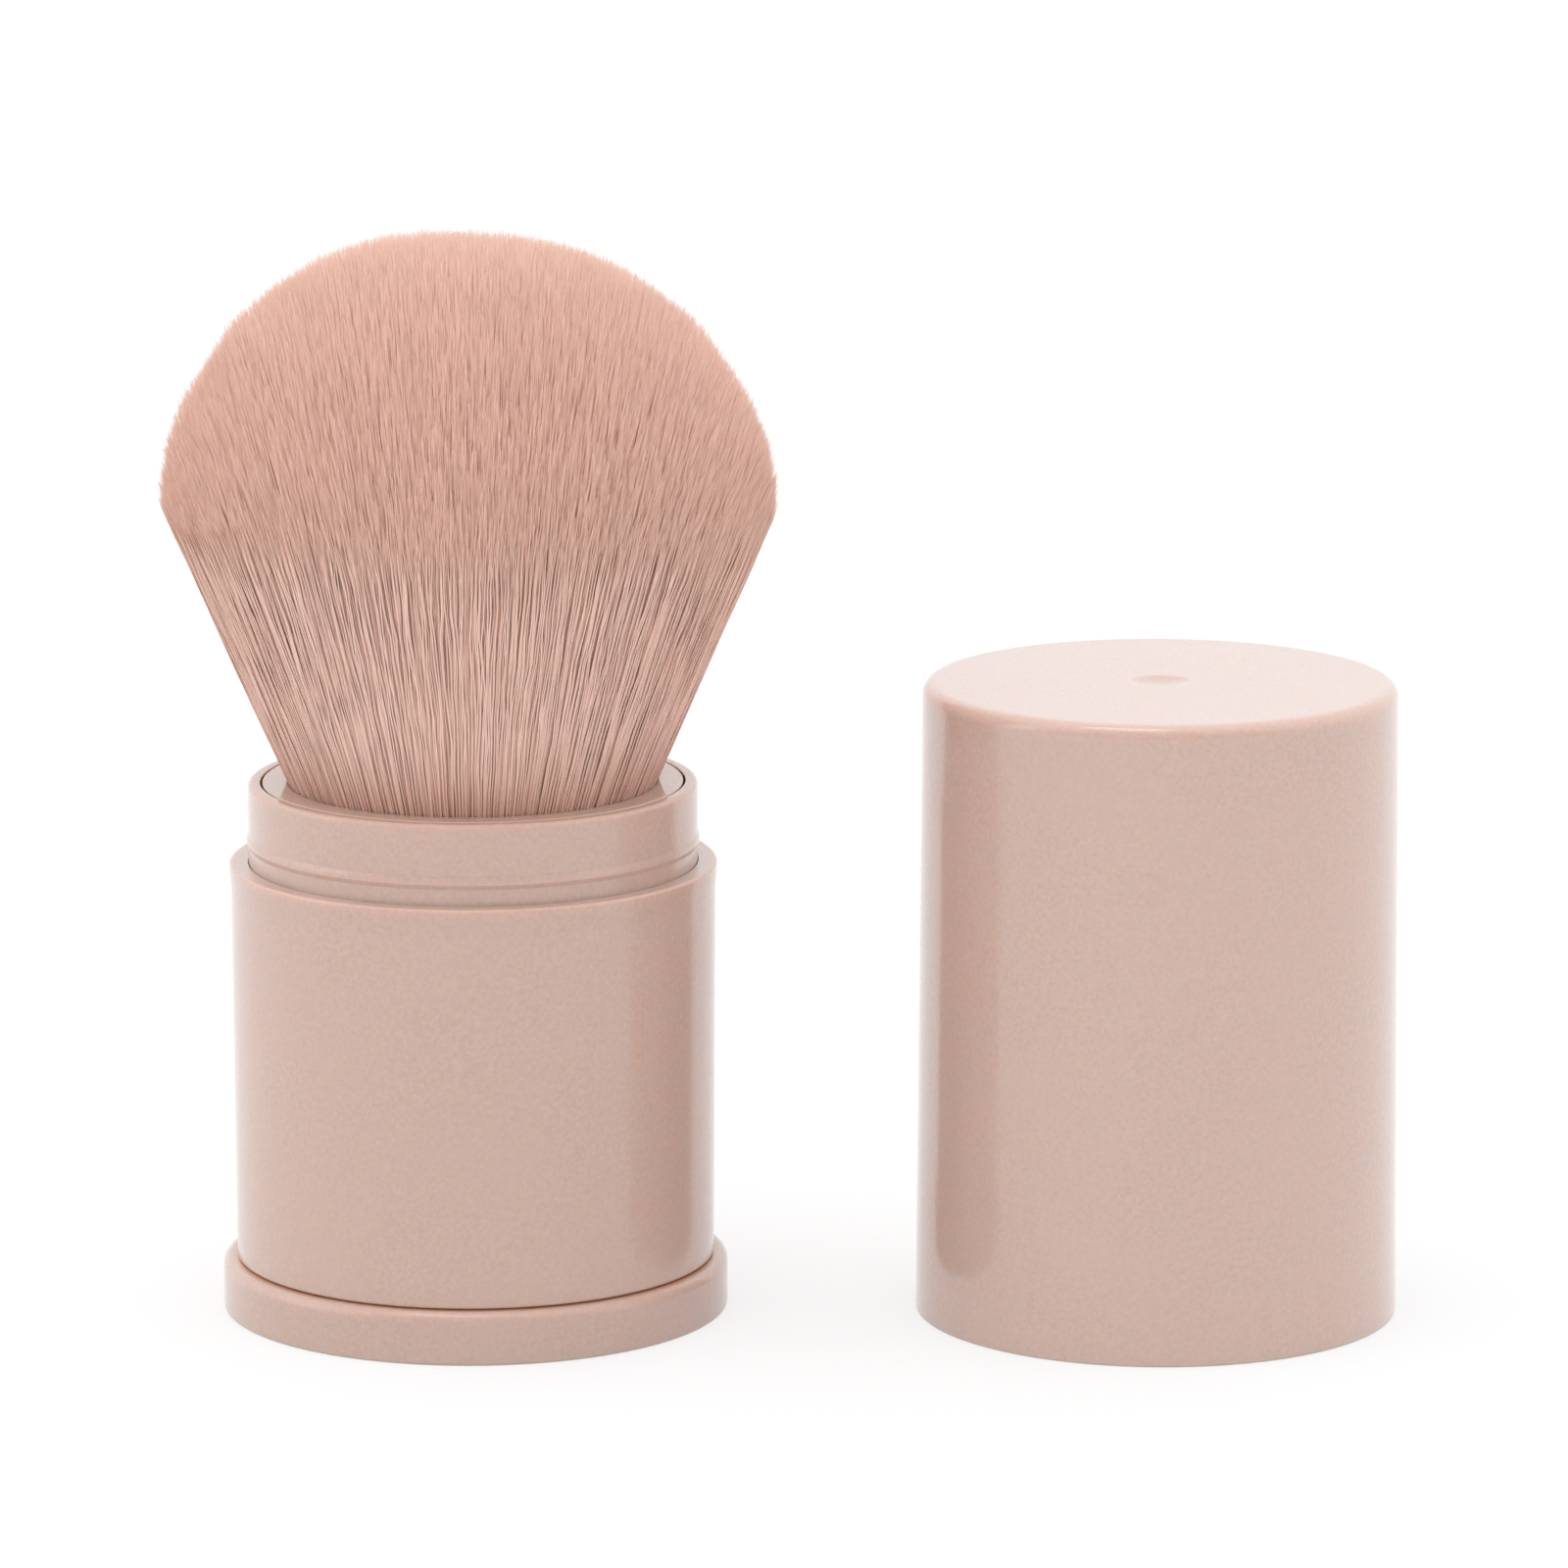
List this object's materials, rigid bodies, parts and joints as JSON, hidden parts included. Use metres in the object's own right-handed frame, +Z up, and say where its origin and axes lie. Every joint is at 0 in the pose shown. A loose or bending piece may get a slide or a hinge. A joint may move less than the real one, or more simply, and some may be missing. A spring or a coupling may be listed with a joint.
{
  "type": "retractable makeup brush",
  "caption": "Twist-up makeup brush with a fluffy domed head, a round barrel on a turning base, and its plain round cap stood beside it.",
  "frame": {"origin": "middle of the brush's flat foot, on the brush's axis, on the surface that it stands on", "axes": "+Z up along the brush's axis, +X towards the cap that stands beside it, +Y to the back"},
  "size_m": [0.107, 0.053, 0.0942],
  "materials": {
    "rose_gloss": "glossy moulded plastic in pale dusty rose, with a faint fine speckle",
    "rose_collar": "satin dusty rose plastic with fine turned lines",
    "ring_gloss": "polished pale rose ring",
    "white_plastic": "plain moulded off-white plastic",
    "white_acetal": "smooth low-friction white plastic",
    "aluminium": "thin bright rolled band",
    "resin": "clear amber set resin",
    "silicone": "soft translucent silicone",
    "fibre": "very fine soft synthetic fibres in warm rose, darker towards the root"
  },
  "bodies": {
    "barrel": {"barrel_shell": "rose_gloss", "neck_sleeve": "rose_collar", "drag_ring": "silicone"},
    "base": {"base_knob": "rose_gloss", "base_insert": "white_plastic", "slotted_sleeve": "white_acetal", "rim_ring": "ring_gloss", "glide_washer": "white_acetal"},
    "carriage": {"brush_carrier": "white_plastic", "ferrule": "aluminium", "knot_root": "resin", "bristles": "fibre"},
    "cap": {"cap_shell": "rose_gloss"}
  },
  "joints": [
    {"name": "base_twist", "type": "hinge", "parent": "barrel", "child": "base", "pos_m": [0, 0, 0], "axis": [0, 0, 1], "range_deg": [-450, 0]},
    {"name": "brush_slide", "type": "slide", "parent": "base", "child": "carriage", "axis": [0, 0, 1], "range_m": [-0.0275, 0], "deforming": ["bristles"]},
    {"name": "cap_lift", "type": "slide", "parent": "barrel", "child": "cap", "axis": [0, 0, 1], "range_m": [0, 0.06]}
  ],
  "couplings": [
    {"joint": "brush_slide", "follows": "base_twist", "m_per_rad": 0.0035014}
  ]
}
